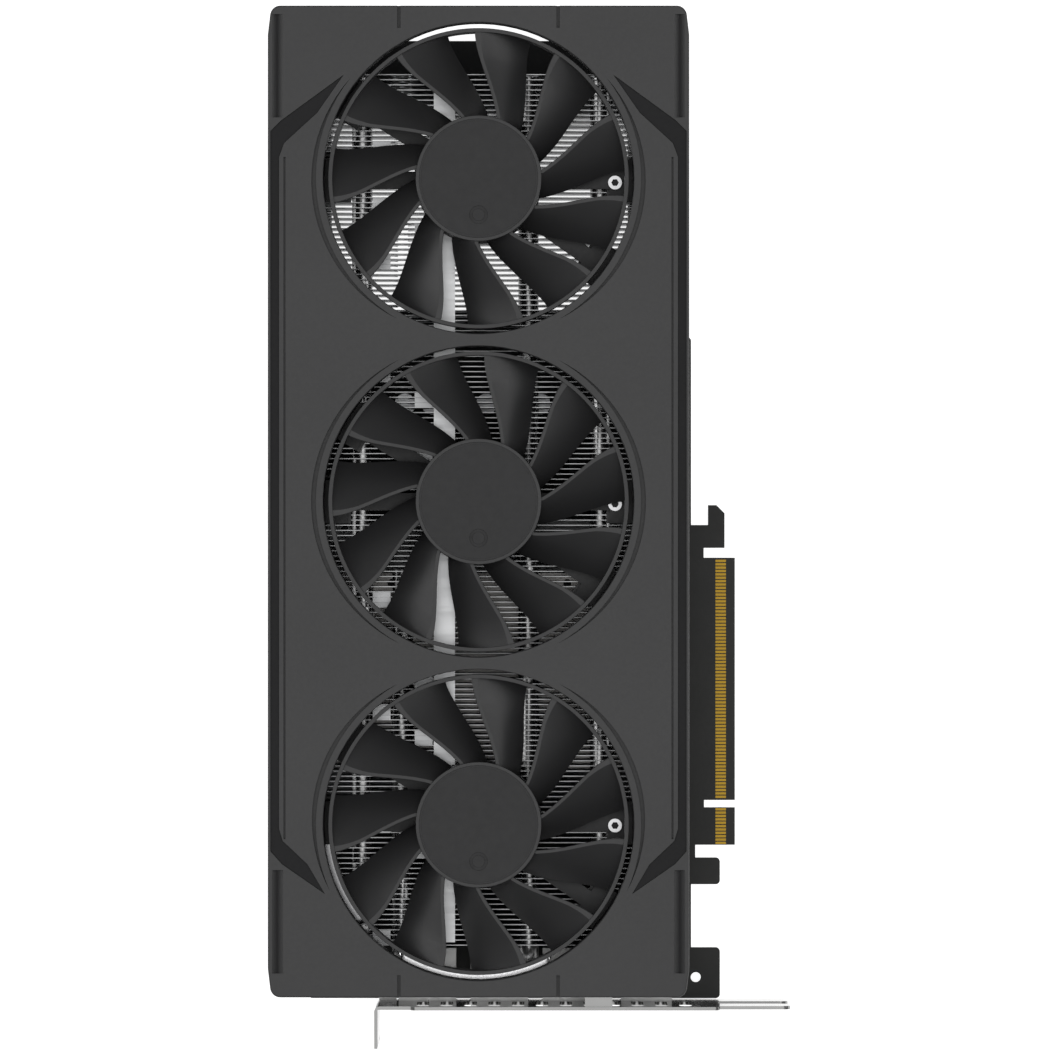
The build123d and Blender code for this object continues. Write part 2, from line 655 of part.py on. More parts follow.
# ------------------------------------------------------------- circuit board
FLANGE_POS = (-27.2, -143.2)  # lower bracket screw, through the board
HOOK_X = (67.8, 72.7)
HOOK_Y = (-13.6, -0.9)
HOOK_FLOOR_Y = -6.8
LOW_TAB_X = 71.3
MID_TAB_Y = (-113.4, -105.5)
END_TAB_TOP = -132.15
PCB_POINTS = [
    (PCB_LEFT, PCB_NEAR), (PCB_LEFT, PCB_FAR), (PCB_RIGHT, PCB_FAR),
    (PCB_RIGHT, HOOK_FLOOR_Y), (HOOK_X[0], HOOK_FLOOR_Y), (HOOK_X[0], HOOK_Y[1]),
    (HOOK_X[1] - 2.4, HOOK_Y[1]), (HOOK_X[1], HOOK_Y[1] - 2.4), (HOOK_X[1], HOOK_Y[0]),
    (66.5, HOOK_Y[0]), (66.5, EDGE_LONG[1]), (EDGE_X, EDGE_LONG[1]),
    (EDGE_X, EDGE_LONG[0]), (66.6, EDGE_LONG[0]), (66.6, EDGE_SHORT[1]),
    (EDGE_X, EDGE_SHORT[1]), (EDGE_X, EDGE_SHORT[0]), (64.0, EDGE_SHORT[0]),
    (64.0, MID_TAB_Y[1]), (LOW_TAB_X, MID_TAB_Y[1]), (LOW_TAB_X, MID_TAB_Y[0]),
    (PCB_RIGHT, MID_TAB_Y[0]), (PCB_RIGHT, END_TAB_TOP), (LOW_TAB_X, END_TAB_TOP),
    (LOW_TAB_X, PCB_NEAR),
]
ROUND_CORNERS = [(PCB_RIGHT, PCB_FAR), (LOW_TAB_X, END_TAB_TOP), (LOW_TAB_X, PCB_NEAR),
                 (LOW_TAB_X, MID_TAB_Y[0]), (LOW_TAB_X, MID_TAB_Y[1])]

with BuildPart() as pcb:
    with BuildSketch(Plane.XY.offset(PCB_Z[0])) as board_outline:
        with BuildLine():
            Polyline(*PCB_POINTS, close=True)
        make_face()
        rounded = [v for v in board_outline.vertices()
                   if any(abs(v.X - x) + abs(v.Y - y) < 0.01 for x, y in ROUND_CORNERS)]
        fillet(rounded, radius=1.2)
        with Locations(HOLE_POS):
            Circle(HOLE_R, mode=Mode.SUBTRACT)
        with Locations(*BOARD_SCREWS, REAR_POST, FLANGE_POS):
            Circle(SCREW_R + 0.1, mode=Mode.SUBTRACT)
        with Locations((0, GPU_Y)):
            with GridLocations(CLAMP_SPACING, CLAMP_SPACING, 2, 2):
                Circle(SCREW_R + 0.1, mode=Mode.SUBTRACT)
    extrude(amount=height(PCB_Z))
save(pcb, "pcb")

with BuildPart() as edge_contacts:
    for low, high in (EDGE_LONG, EDGE_SHORT):
        count = int((high - low) / CONTACT_PITCH)
        for z in (PCB_Z[1], PCB_Z[0] - CONTACT_THICK):
            with BuildSketch(Plane.XY.offset(z)):
                with Locations((sum(CONTACT_X) / 2, (low + high) / 2)):
                    with GridLocations(0, CONTACT_PITCH, 1, count):
                        Rectangle(height(CONTACT_X), CONTACT_WIDTH)
            extrude(amount=CONTACT_THICK)
save(edge_contacts, "edge_contacts")

with BuildPart() as gpu_package:
    with BuildSketch(Plane.XY.offset(GPU_Z[0])):
        with Locations((0, GPU_Y)):
            Rectangle(GPU_SIZE, GPU_SIZE)
    extrude(amount=height(GPU_Z))
save(gpu_package, "gpu_package")

with BuildPart() as gpu_die:
    with BuildSketch(Plane.XY.offset(DIE_Z[0])):
        with Locations((0, GPU_Y)):
            Rectangle(*DIE_SIZE)
    extrude(amount=height(DIE_Z))
save(gpu_die, "gpu_die")

# Two memory chips above and below the processor, three on its sides.
MEMORY_SPOTS = [(x, GPU_Y + y * MEMORY_OFFSET) for x in (-14.0, 14.0) for y in (-1, 1)]
MEMORY_SPOTS += [(x * MEMORY_OFFSET, GPU_Y + y) for x in (-1, 1) for y in (-18.0, 0.0, 18.0)]


def chip_group(size, spots, z):
    """Flat rectangular chips of one size, all at one height."""
    with BuildPart() as chips:
        with BuildSketch(Plane.XY.offset(z)):
            with Locations(*spots):
                Rectangle(size[0], size[1])
        extrude(amount=size[2])
    return chips


save(chip_group(MEMORY_SIZE, MEMORY_SPOTS, PCB_Z[1]), "memory_chips")
save(chip_group((11.0, 13.0, height(PAD_Z)), MEMORY_SPOTS, PAD_Z[0]), "thermal_pads")

PHASE_X = range(-30, 31, 10)
CHOKE_SPOTS = [(x, 12.0) for x in PHASE_X]
CHOKE_SPOTS += [(54.0, y) for y in (-30, -40, -50, -60, -70)]
MOSFET_SPOTS = [(x, 20.0) for x in PHASE_X]
CAPACITOR_SPOTS = [(x, 29.0) for x in range(-30, 27, 8)]
save(chip_group((7.0, 7.0, 4.0), CHOKE_SPOTS, PCB_Z[1]), "chokes")
save(chip_group((6.0, 5.0, 0.9), MOSFET_SPOTS, PCB_Z[1]), "mosfets")

with BuildPart() as capacitors:
    with BuildSketch(Plane.XY.offset(PCB_Z[1])):
        with Locations(*CAPACITOR_SPOTS):
            Circle(3.1)
    extrude(amount=6.0)
save(capacitors, "capacitors")

# ------------------------------------------------------------- power sockets
for number, y in enumerate(SOCKET_Y, start=1):
    with BuildPart() as power_socket:
        with Locations((SOCKET_X[0], y, PCB_Z[1])):
            Box(height(SOCKET_X), 21.0, SOCKET_HEIGHT,
                align=(Align.MIN, Align.CENTER, Align.MIN))
        with BuildSketch(Plane.YZ.offset(SOCKET_X[0])):
            with Locations((y, PCB_Z[1] + SOCKET_HEIGHT / 2)):
                with GridLocations(CELL_PITCH, CELL_PITCH, 4, 2):
                    Rectangle(CELL_SIZE, CELL_SIZE)
        extrude(amount=CELL_DEPTH, mode=Mode.SUBTRACT)
        # Latch lip on top of the housing
        with Locations((SOCKET_X[0] + 2.0, y, PCB_Z[1] + SOCKET_HEIGHT)):
            Box(2.0, 4.0, 1.2, align=(Align.MIN, Align.CENTER, Align.MIN))
    save(power_socket, f"power_socket_{number}")

with BuildPart() as power_pins:
    for y in SOCKET_Y:
        with BuildSketch(Plane.YZ.offset(SOCKET_X[0] + 1.5)):
            with Locations((y, PCB_Z[1] + SOCKET_HEIGHT / 2)):
                with GridLocations(CELL_PITCH, CELL_PITCH, 4, 2):
                    Rectangle(1.1, 1.1)
        extrude(amount=CELL_DEPTH - 1.5)
save(power_pins, "power_pins")


# ------------------------------------------------------- sockets and bracket
def display_socket(x, size, tongue):
    """Metal shell that opens towards -Y, with its contact tongue."""
    with BuildPart() as socket:
        with Locations((x, PORT_Y[0], PCB_Z[1])):
            Box(size[0], height(PORT_Y), size[1],
                align=(Align.CENTER, Align.MIN, Align.MIN))
        with Locations((x, PORT_Y[0], PCB_Z[1] + PORT_WALL)):
            Box(size[0] - 2 * PORT_WALL, 12.0, size[1] - 2 * PORT_WALL,
                align=(Align.CENTER, Align.MIN, Align.MIN), mode=Mode.SUBTRACT)
        with Locations((x, PORT_Y[0] + 1.5, PCB_Z[1] + size[1] / 2)):
            Box(tongue, 11.0, 1.1, align=(Align.CENTER, Align.MIN, Align.CENTER))
    return socket


for number, x in enumerate(PORT_X, start=1):
    save(display_socket(x, PORT_SIZE, 12.4), f"display_port_{number}")
save(display_socket(HDMI_X, HDMI_SIZE, 10.6), "hdmi_port")

BRACKET_MID_Z = sum(BRACKET_Z) / 2
TONGUE_Z = (9.5, 29.8)

with BuildPart() as io_bracket:
    with BuildSketch(Plane.XZ.offset(-BRACKET_Y[1])):
        with Locations(((BRACKET_STEP_X + BRACKET_X[1]) / 2, BRACKET_MID_Z)):
            RectangleRounded(BRACKET_X[1] - BRACKET_STEP_X, height(BRACKET_Z), 1.5)
        with Locations(((BRACKET_X[0] + 10) / 2, BRACKET_MID_Z)):
            Rectangle(10 - BRACKET_X[0], height(BRACKET_Z) - 5.0)
        for z in TONGUE_Z:
            with Locations(((50 + TONGUE_X) / 2, z)):
                RectangleRounded(TONGUE_X - 50, 10.2, 2.4)
        for x in PORT_X:
            with Locations((x, PCB_Z[1] + PORT_SIZE[1] / 2)):
                Rectangle(PORT_SIZE[0] + 0.6, PORT_SIZE[1] + 0.6, mode=Mode.SUBTRACT)
        with Locations((HDMI_X, PCB_Z[1] + HDMI_SIZE[1] / 2)):
            Rectangle(HDMI_SIZE[0] + 0.6, HDMI_SIZE[1] + 0.6, mode=Mode.SUBTRACT)
        with Locations((22.0, 25.5)):
            with GridLocations(7.0, 0, 12, 1):
                SlotOverall(20.0, 3.6, rotation=90, mode=Mode.SUBTRACT)
    extrude(amount=height(BRACKET_Y))
    # Fixing tab folded away from the card
    with Locations((BRACKET_X[0], BRACKET_Y[1], BRACKET_MID_Z)):
        Box(1.0, BRACKET_Y[1] - TAB_END_Y, height(BRACKET_Z) - 5.0,
            align=(Align.MIN, Align.MAX, Align.CENTER))
    fold = (io_bracket.edges().filter_by(Axis.Z)
            .filter_by_position(Axis.X, BRACKET_X[0] - 0.1, BRACKET_X[0] + 0.1)
            .filter_by_position(Axis.Y, BRACKET_Y[1] - 0.1, BRACKET_Y[1] + 0.1))
    fillet(fold, FOLD_R)
    for z in TONGUE_Z:
        with Locations((BRACKET_X[0], TAB_END_Y, z)):
            Cylinder(2.2, 10, rotation=(0, 90, 0), mode=Mode.SUBTRACT)
    # Flanges folded towards the card
    with Locations((FLANGE_POS[0], BRACKET_Y[1], PCB_Z[1])):
        Box(5.2, 8.5, 1.0, align=(Align.CENTER, Align.MIN, Align.MIN))
    with Locations((FLANGE_POS[0], BRACKET_Y[0], PCB_Z[1])):
        Box(5.2, 1.5, 1.0, align=(Align.CENTER, Align.MIN, Align.MIN))
    with Locations((BOSS_POS[0], BRACKET_Y[0], UPPER_FLANGE_Z[0])):
        Box(8.0, 11.0, height(UPPER_FLANGE_Z), align=(Align.CENTER, Align.MIN, Align.MIN))
    with Locations((*FLANGE_POS, 0), (*BOSS_POS, BRACKET_Z[1])):
        Cylinder(SCREW_SHANK_R + 0.1, 20, mode=Mode.SUBTRACT)
save(io_bracket, "io_bracket")

with BuildPart() as bracket_screws:
    for spot, head_z, length in [(FLANGE_POS, PCB_Z[1] + 1.0, -2.6),
                                 (BOSS_POS, UPPER_FLANGE_Z[0], 5.0)]:
        with BuildSketch(Plane.XY.offset(head_z)):
            with Locations(spot):
                Circle(SCREW_SHANK_R)
        extrude(amount=length)
        with BuildSketch(Plane.XY.offset(head_z)):
            with Locations(spot):
                Circle(SCREW_HEAD_R)
        extrude(amount=-SCREW_HEAD_THICK if length > 0 else SCREW_HEAD_THICK)
save(bracket_screws, "bracket_screws")

# ----------------------------------------------------- backplate and fixings
ALL_BACK_SCREWS = BOARD_SCREWS + SHELL_SCREWS + [REAR_POST]
BACK_SLOT = (34.0, 3.0)

with BuildPart() as backplate:
    with BuildSketch():
        with Locations((0, sum(BACK_Y) / 2)):
            RectangleRounded(2 * BACK_X, height(BACK_Y), 4.0)
        with Locations((0, BACK_WINDOW_Y)):
            RectangleRounded(*BACK_WINDOW, 4.0, mode=Mode.SUBTRACT)
        with Locations((0, -118)):
            with GridLocations(44.0, 7.0, 2, 4):
                SlotOverall(*BACK_SLOT, mode=Mode.SUBTRACT)
    extrude(amount=BACK_THICK)
    chamfer(backplate.faces().sort_by(Axis.Z)[0].outer_wire().edges(), length=0.4)
    # Stiffening rims along both long edges
    for x in (-1, 1):
        with Locations((x * (BACK_X - 0.5), -1, BACK_THICK - 0.2)):
            Box(1.0, 270, SPACER_Z[1] - BACK_THICK,
                align=(Align.CENTER, Align.CENTER, Align.MIN))
    with Locations(*[(x, y, 0) for x, y in ALL_BACK_SCREWS]):
        Cylinder(SCREW_R + 0.1, 10, mode=Mode.SUBTRACT)
        Cone(2.4, SCREW_R + 0.1, 1.1, align=(Align.CENTER, Align.CENTER, Align.MIN),
             mode=Mode.SUBTRACT)
save(backplate, "backplate")

with BuildPart() as backplate_screws:
    with Locations(*[(x, y, 0.1) for x, y in ALL_BACK_SCREWS]):
        Cone(2.15, SCREW_R, 0.95, align=(Align.CENTER, Align.CENTER, Align.MIN))
        Cylinder(SCREW_R, BACK_SCREW_TOP, align=(Align.CENTER, Align.CENTER, Align.MIN))
save(backplate_screws, "backplate_screws")

# Threaded spacers under the board, short posts on top of it and long ones to the shell
SHELL_POST_TOP = FACE_Z - FACE_THICK
with BuildPart() as standoffs:
    for z_range, spots in [(SPACER_Z, BOARD_SCREWS + [REAR_POST]), (POST_Z, BOARD_SCREWS),
                           ((BACK_THICK, SHELL_POST_TOP), SHELL_SCREWS),
                           ((PCB_Z[1], SHELL_POST_TOP), [REAR_POST])]:
        with BuildSketch(Plane.XY.offset(z_range[0])):
            with Locations(*spots):
                Circle(POST_R)
                Circle(SCREW_R, mode=Mode.SUBTRACT)
        extrude(amount=height(z_range))
save(standoffs, "standoffs")

CLAMP_Z = (2.5, 3.3)
with BuildPart() as clamp_plate:
    with BuildSketch(Plane.XY.offset(CLAMP_Z[0])):
        with Locations((0, GPU_Y)):
            for turn in (45, -45):
                SlotCenterToCenter(CLAMP_SPACING * 2 ** 0.5, 9.0, rotation=turn)
            Circle(14.0)
            Circle(9.0, mode=Mode.SUBTRACT)
            with GridLocations(CLAMP_SPACING, CLAMP_SPACING, 2, 2):
                Circle(SCREW_R + 0.1, mode=Mode.SUBTRACT)
    extrude(amount=height(CLAMP_Z))
save(clamp_plate, "clamp_plate")

with BuildPart() as clamp_screws:
    with Locations((0, GPU_Y, 0)):
        with GridLocations(CLAMP_SPACING, CLAMP_SPACING, 2, 2):
            with Locations((0, 0, CLAMP_Z[0])):
                Cylinder(SCREW_R, 9.0, align=(Align.CENTER, Align.CENTER, Align.MIN))
            with Locations((0, 0, CLAMP_Z[0] - 0.9)):
                Cylinder(2.3, 0.9, align=(Align.CENTER, Align.CENTER, Align.MIN))
save(clamp_screws, "clamp_screws")
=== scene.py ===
"""Studio picture of a triple-fan graphics card lying on its backplate.

Metres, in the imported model's own frame: +Z is the fan side, +Y the far end,
-Y the display sockets, +X the card edge connector.
"""

import json
from math import cos, pi, radians, sin

import bpy
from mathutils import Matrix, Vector


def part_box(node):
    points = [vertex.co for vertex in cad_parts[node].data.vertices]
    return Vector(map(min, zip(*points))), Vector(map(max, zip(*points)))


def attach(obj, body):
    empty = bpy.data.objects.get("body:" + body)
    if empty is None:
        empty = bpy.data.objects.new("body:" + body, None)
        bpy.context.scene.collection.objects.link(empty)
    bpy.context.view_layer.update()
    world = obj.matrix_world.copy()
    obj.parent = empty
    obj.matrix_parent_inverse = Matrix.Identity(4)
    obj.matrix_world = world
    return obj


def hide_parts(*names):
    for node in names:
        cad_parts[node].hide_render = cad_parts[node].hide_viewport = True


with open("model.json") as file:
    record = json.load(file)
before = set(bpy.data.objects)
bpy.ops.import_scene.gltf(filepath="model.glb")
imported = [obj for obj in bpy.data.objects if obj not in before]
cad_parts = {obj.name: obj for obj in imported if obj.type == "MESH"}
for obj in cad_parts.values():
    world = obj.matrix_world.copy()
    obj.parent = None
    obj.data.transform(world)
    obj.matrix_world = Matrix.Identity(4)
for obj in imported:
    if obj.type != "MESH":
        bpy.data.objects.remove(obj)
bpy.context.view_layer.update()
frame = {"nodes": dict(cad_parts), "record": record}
nodes = frame["nodes"]
MM = 0.001


# ------------------------------------------------------------ places and sizes
def centre(node):
    low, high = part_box(node)
    return (Vector(low) + Vector(high)) / 2


def top(node):
    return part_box(node)[1][2]


FAN_PHASE = {1: 7.5, 2: 3.75, 3: 8.75}   # degrees to the first blade at rest
CARD_TOP = top("shroud")

BLADES = 11
HUB_R = 18.25 * MM
CAP_R = 17.25 * MM            # edge of the cap, inside the hub's bright rim
CAP_SEAT = 0.5 * MM
CAP_GAP = 0.02 * MM
RING_IN_R = 42.5 * MM
RING_OUT_R = 43.65 * MM
RING_Z = (40.2 * MM, 48.6 * MM)
RING_SEGMENTS = 216
HUB_ROOM_R = 14.2 * MM        # room for the magnet ring
HUB_ROOM_TOP = 47.1 * MM
SHAFT_R = 1.25 * MM
SHAFT_TOP = 47.8 * MM
BOSS_R = 2.9 * MM             # boss that grips the shaft
BOSS_BOTTOM = 45.8 * MM
AXIS_R = 0.0001 * MM
SOFT_EDGE = 0.3 * MM          # rounding of the moulding's lower edges
EDGE = 0.2 * MM
CRISP_EDGE = 0.12 * MM
RIM_EDGE = 0.08 * MM
CAP_EDGE = 0.05 * MM
ROTOR_SHARP = 18.0            # degrees between faces that stay a crease

BLADE_SWEEP = 18.5            # degrees that the leading edge leans, hub to ring
SWEEP_POWER = 1.9
HUB_COVER, RING_COVER = 24.8, 22.1   # degrees that a blade covers at its two ends
BLADE_TOP = 48.0 * MM
BLADE_DROP = 8.4 * MM
DROP_BOW = 0.25               # share of the drop that comes late in the section
UNDER_DROP = 0.96             # drop of the underside, as a share of the top's
BLADE_THICK = 1.1 * MM
LEADING_FLAT = 1.1 * MM
FLAT_GROWTH = 0.7 * MM        # by which the flat widens near the ring
GROWTH_START = 0.7
LIP_SHARE = 0.12              # of the flat, turned down at the leading edge
LIP_DROP = 0.12 * MM
ROOT_OVERLAP = 0.5 * MM
TIP_OVERLAP = 0.4 * MM
BLADE_STATIONS = 26
BLADE_STEPS = 14


# -------------------------------------------------------------------- camera
CAMERA_DISTANCE = 2.0
CAMERA_OFFSET = (14.37 * MM, -7.69 * MM)
FOCAL_MM = 234.9
SENSOR_MM = 36.0
CLIP_END = 20.0


def make_camera():
    """Camera straight above the card, shifted sideways as in the photo."""
    data = bpy.data.cameras.new("camera")
    data.lens = FOCAL_MM
    data.sensor_width = SENSOR_MM
    data.clip_end = CLIP_END
    camera = bpy.data.objects.new("camera", data)
    camera.location = (*CAMERA_OFFSET, CARD_TOP + CAMERA_DISTANCE)
    bpy.context.scene.collection.objects.link(camera)
    bpy.context.scene.camera = camera


make_camera()


# ----------------------------------------------------------------- materials
class Shader:
    """A Principled material and short helpers to wire its nodes."""

    def __init__(self, name, base, metallic=0.0, rough=0.5, specular=0.5):
        self.material = bpy.data.materials.new(name)
        self.material.use_nodes = True
        self.tree = self.material.node_tree
        self.bsdf = self.tree.nodes["Principled BSDF"]
        self.bsdf.inputs["Base Color"].default_value = (*base, 1)
        self.bsdf.inputs["Metallic"].default_value = metallic
        self.bsdf.inputs["Roughness"].default_value = rough
        self.bsdf.inputs["Specular IOR Level"].default_value = specular
        self.base = base
        self.coords = self.tree.nodes.new("ShaderNodeTexCoord").outputs["Object"]
        self.height = None

    def node(self, kind, **values):
        made = self.tree.nodes.new(kind)
        for key, value in values.items():
            if key in made.inputs:
                made.inputs[key].default_value = value
            else:
                setattr(made, key, value)
        return made

    def link(self, source, target):
        self.tree.links.new(source, target)

    def scaled(self, scale):
        """Object coordinates stretched by a factor along each axis."""
        mapping = self.node("ShaderNodeMapping")
        mapping.inputs["Scale"].default_value = scale
        self.link(self.coords, mapping.inputs["Vector"])
        return mapping.outputs["Vector"]

    def noise(self, scale, detail=4.0, stretch=(1, 1, 1)):
        made = self.node("ShaderNodeTexNoise", Scale=scale, Detail=detail)
        self.link(self.scaled(stretch), made.inputs["Vector"])
        return made.outputs["Fac"]

    def ramp(self, factor, low, high, start=0.0, end=1.0):
        """Blend of two colours over a stretch of a factor."""
        made = self.node("ShaderNodeValToRGB")
        first, second = made.color_ramp.elements
        first.position, second.position = start, end
        first.color, second.color = (*low, 1), (*high, 1)
        self.link(factor, made.inputs["Fac"])
        return made.outputs["Color"]

    def vary_colour(self, factor, amount):
        """Base colour a share darker and lighter, over the middle of a factor."""
        low = tuple(c * (1 - amount) for c in self.base)
        high = tuple(min(1.0, c * (1 + amount)) for c in self.base)
        self.link(self.ramp(factor, low, high, 0.3, 0.7), self.bsdf.inputs["Base Color"])

    def vary_rough(self, factor, low, high):
        """Roughness between two values along a factor."""
        made = self.node("ShaderNodeMapRange")
        made.inputs["To Min"].default_value = low
        made.inputs["To Max"].default_value = high
        self.link(factor, made.inputs["Value"])
        self.link(made.outputs["Result"], self.bsdf.inputs["Roughness"])

    def bump(self, factor, depth, strength=1.0):
        """Adds a bump layer of a depth in metres on top of the ones before."""
        made = self.node("ShaderNodeBump", Strength=strength, Distance=depth)
        self.link(factor, made.inputs["Height"])
        if self.height is not None:
            self.link(self.height, made.inputs["Normal"])
        self.height = made.outputs["Normal"]
        self.link(self.height, self.bsdf.inputs["Normal"])


def moulded(name, base, rough, grain, depth, specular=0.5):
    """Moulded plastic with a fine spark-eroded grain and faint flow marks."""
    shader = Shader(name, base, rough=rough, specular=specular)
    fine = shader.noise(grain, 6.0)
    cloud = shader.noise(22.0, 3.0)
    shader.vary_colour(cloud, 0.07)
    shader.vary_rough(shader.noise(grain / 3, 3.0), rough - 0.06, rough + 0.08)
    shader.bump(fine, depth)
    return shader.material


def brushed(name, base, rough, stretch, depth=0.004 * MM):
    """Metal with fine lines along one axis and soft stains."""
    shader = Shader(name, base, metallic=1.0, rough=rough)
    lines = shader.noise(900.0, 5.0, stretch)
    shader.vary_colour(shader.noise(45.0, 4.0), 0.08)
    shader.vary_rough(lines, rough - 0.08, rough + 0.12)
    shader.bump(lines, depth)
    return shader.material


def cast(name, base, rough, grain, depth, metallic=1.0):
    """Blasted, plated or sintered metal with an even grain."""
    shader = Shader(name, base, metallic=metallic, rough=rough)
    shader.vary_colour(shader.noise(60.0, 4.0), 0.08)
    grains = shader.noise(grain, 5.0)
    shader.vary_rough(grains, rough - 0.07, rough + 0.1)
    shader.bump(grains, depth)
    return shader.material


def powder_coat(name, base):
    """Black powder coat: orange peel under a fine sparkle-free grain."""
    shader = Shader(name, base, rough=0.48, specular=0.3)
    peel = shader.noise(1400.0, 3.0)
    shader.vary_colour(shader.noise(30.0), 0.1)
    shader.vary_rough(shader.noise(500.0), 0.42, 0.56)
    shader.bump(peel, 0.03 * MM)
    shader.bump(shader.noise(5200.0), 0.01 * MM)
    return shader.material


def solder_mask(name, base):
    """Dark board lacquer over faint copper tracks and a glass weave."""
    shader = Shader(name, base, rough=0.5, specular=0.22)
    shader.vary_colour(shader.noise(70.0, 3.0), 0.08)
    tracks = shader.node("ShaderNodeTexBrick", Scale=1.0)
    tracks.inputs["Mortar Size"].default_value = 0.018
    tracks.inputs["Brick Width"].default_value = 1.3
    tracks.inputs["Row Height"].default_value = 0.22
    shader.link(shader.scaled((420, 420, 420)), tracks.inputs["Vector"])
    weave = shader.noise(2600.0, 2.0, (1, 0.35, 1))
    shader.vary_rough(shader.noise(800.0), 0.42, 0.58)
    shader.bump(tracks.outputs["Fac"], 0.012 * MM, 0.5)
    shader.bump(weave, 0.006 * MM)
    return shader.material


def gold_plate(name, base):
    """Hard gold over nickel, with wipe marks along the insertion way."""
    shader = Shader(name, base, metallic=1.0, rough=0.3)
    wipe = shader.noise(1500.0, 4.0, (0.12, 1, 1))
    shader.vary_colour(wipe, 0.12)
    shader.vary_rough(wipe, 0.22, 0.42)
    shader.bump(wipe, 0.006 * MM)
    return shader.material


def soft_pad(name, base):
    """Thermal pad: dull silicone with fine pores."""
    shader = Shader(name, base, rough=0.8, specular=0.3)
    pores = shader.node("ShaderNodeTexVoronoi", Scale=2400.0)
    shader.link(shader.coords, pores.inputs["Vector"])
    shader.vary_colour(shader.noise(300.0), 0.1)
    shader.bump(pores.outputs["Distance"], 0.02 * MM)
    return shader.material


def ferrite(name, base):
    """Two-tone sintered block of a power choke."""
    shader = Shader(name, base, rough=0.6)
    speckle = shader.noise(3800.0, 3.0)
    shader.vary_colour(speckle, 0.35)
    shader.bump(speckle, 0.02 * MM)
    return shader.material


def wound_core(name):
    """Copper windings over a stack of steel sheets."""
    shader = Shader(name, (0.42, 0.19, 0.08), metallic=0.85, rough=0.4)
    wave = shader.node("ShaderNodeTexWave", Scale=700.0, Distortion=0.6,
                       bands_direction="Z")
    shader.link(shader.coords, wave.inputs["Vector"])
    shader.vary_colour(wave.outputs["Fac"], 0.35)
    shader.bump(wave.outputs["Fac"], 0.08 * MM)
    return shader.material


def sleeve(name, base):
    """Smooth wire insulation with a faint extrusion grain."""
    shader = Shader(name, base, rough=0.42)
    lines = shader.noise(1200.0, 3.0)
    shader.vary_colour(lines, 0.12)
    shader.bump(lines, 0.01 * MM)
    return shader.material


SLOTS = {
    "shroud_plastic": moulded("shroud_plastic", (0.036, 0.036, 0.037), 0.44, 3400, 0.010 * MM),
    "trim_plastic": moulded("trim_plastic", (0.014, 0.014, 0.015), 0.5, 2600, 0.008 * MM, 0.2),
    "rotor_plastic": moulded("rotor_plastic", (0.029, 0.029, 0.030), 0.40, 2400, 0.006 * MM),
    "badge": moulded("badge", (0.026, 0.026, 0.027), 0.54, 1500, 0.02 * MM, 0.42),
    "frame_plastic": moulded("frame_plastic", (0.016, 0.016, 0.017), 0.5, 2600, 0.012 * MM),
    "motor_steel": brushed("motor_steel", (0.45, 0.45, 0.46), 0.3, (1, 1, 0.05)),
    "motor_core": wound_core("motor_core"),
    "magnet": cast("magnet", (0.07, 0.07, 0.075), 0.55, 3000, 0.02 * MM, metallic=0.3),
    "screw_steel": brushed("screw_steel", (0.50, 0.50, 0.51), 0.26, (1, 1, 0.2)),
    "black_screw": cast("black_screw", (0.03, 0.03, 0.032), 0.42, 2600, 0.01 * MM, 0.6),
    "bronze": cast("bronze", (0.5, 0.31, 0.14), 0.45, 3600, 0.02 * MM),
    "fin_aluminium": brushed("fin_aluminium", (0.46, 0.465, 0.47), 0.34, (0.06, 1, 1)),
    "nickel_pipe": brushed("nickel_pipe", (0.46, 0.46, 0.46), 0.26, (1, 0.05, 1)),
    "plated_copper": brushed("plated_copper", (0.36, 0.35, 0.34), 0.3, (0.05, 1, 1)),
    "plate_aluminium": cast("plate_aluminium", (0.30, 0.305, 0.31), 0.5, 2800, 0.02 * MM),
    "board": solder_mask("board", (0.040, 0.0405, 0.039)),
    "gold": gold_plate("gold", (0.315, 0.195, 0.026)),
    "package": moulded("package", (0.02, 0.06, 0.035), 0.45, 2400, 0.01 * MM),
    "silicon": cast("silicon", (0.25, 0.26, 0.29), 0.12, 900, 0.001 * MM, metallic=0.8),
    "chip_black": moulded("chip_black", (0.022, 0.022, 0.023), 0.55, 4200, 0.012 * MM),
    "choke_grey": ferrite("choke_grey", (0.10, 0.10, 0.105)),
    "can_aluminium": brushed("can_aluminium", (0.70, 0.71, 0.72), 0.3, (1, 1, 0.1)),
    "pad_silicone": soft_pad("pad_silicone", (0.42, 0.47, 0.55)),
    "lead_sleeve": sleeve("lead_sleeve", (0.018, 0.018, 0.019)),
    "header_plastic": moulded("header_plastic", (0.60, 0.57, 0.49), 0.45, 1800, 0.01 * MM),
    "socket_plastic": moulded("socket_plastic", (0.02, 0.02, 0.021), 0.5, 2200, 0.014 * MM),
    "pin_tin": brushed("pin_tin", (0.74, 0.74, 0.72), 0.24, (0.1, 1, 1)),
    "shell_nickel": brushed("shell_nickel", (0.50, 0.50, 0.495), 0.3, (1, 0.08, 1)),
    "bracket_nickel": brushed("bracket_nickel", (0.28, 0.28, 0.277), 0.14, (0.04, 1, 1),
                              0.001 * MM),
    "back_metal": powder_coat("back_metal", (0.014, 0.0145, 0.0155)),
    "clamp_steel": brushed("clamp_steel", (0.48, 0.48, 0.49), 0.34, (1, 0.1, 1)),
}


# Painted shade in the sunk hexagon of the fan screws: the colour darkens with depth below the
# head's top.
RECESS_SHADE = (0.3 * MM, 0.1 * MM)   # below the head's top: fully dark, fully bright
RECESS_PAINTED_SHADE = 0.03


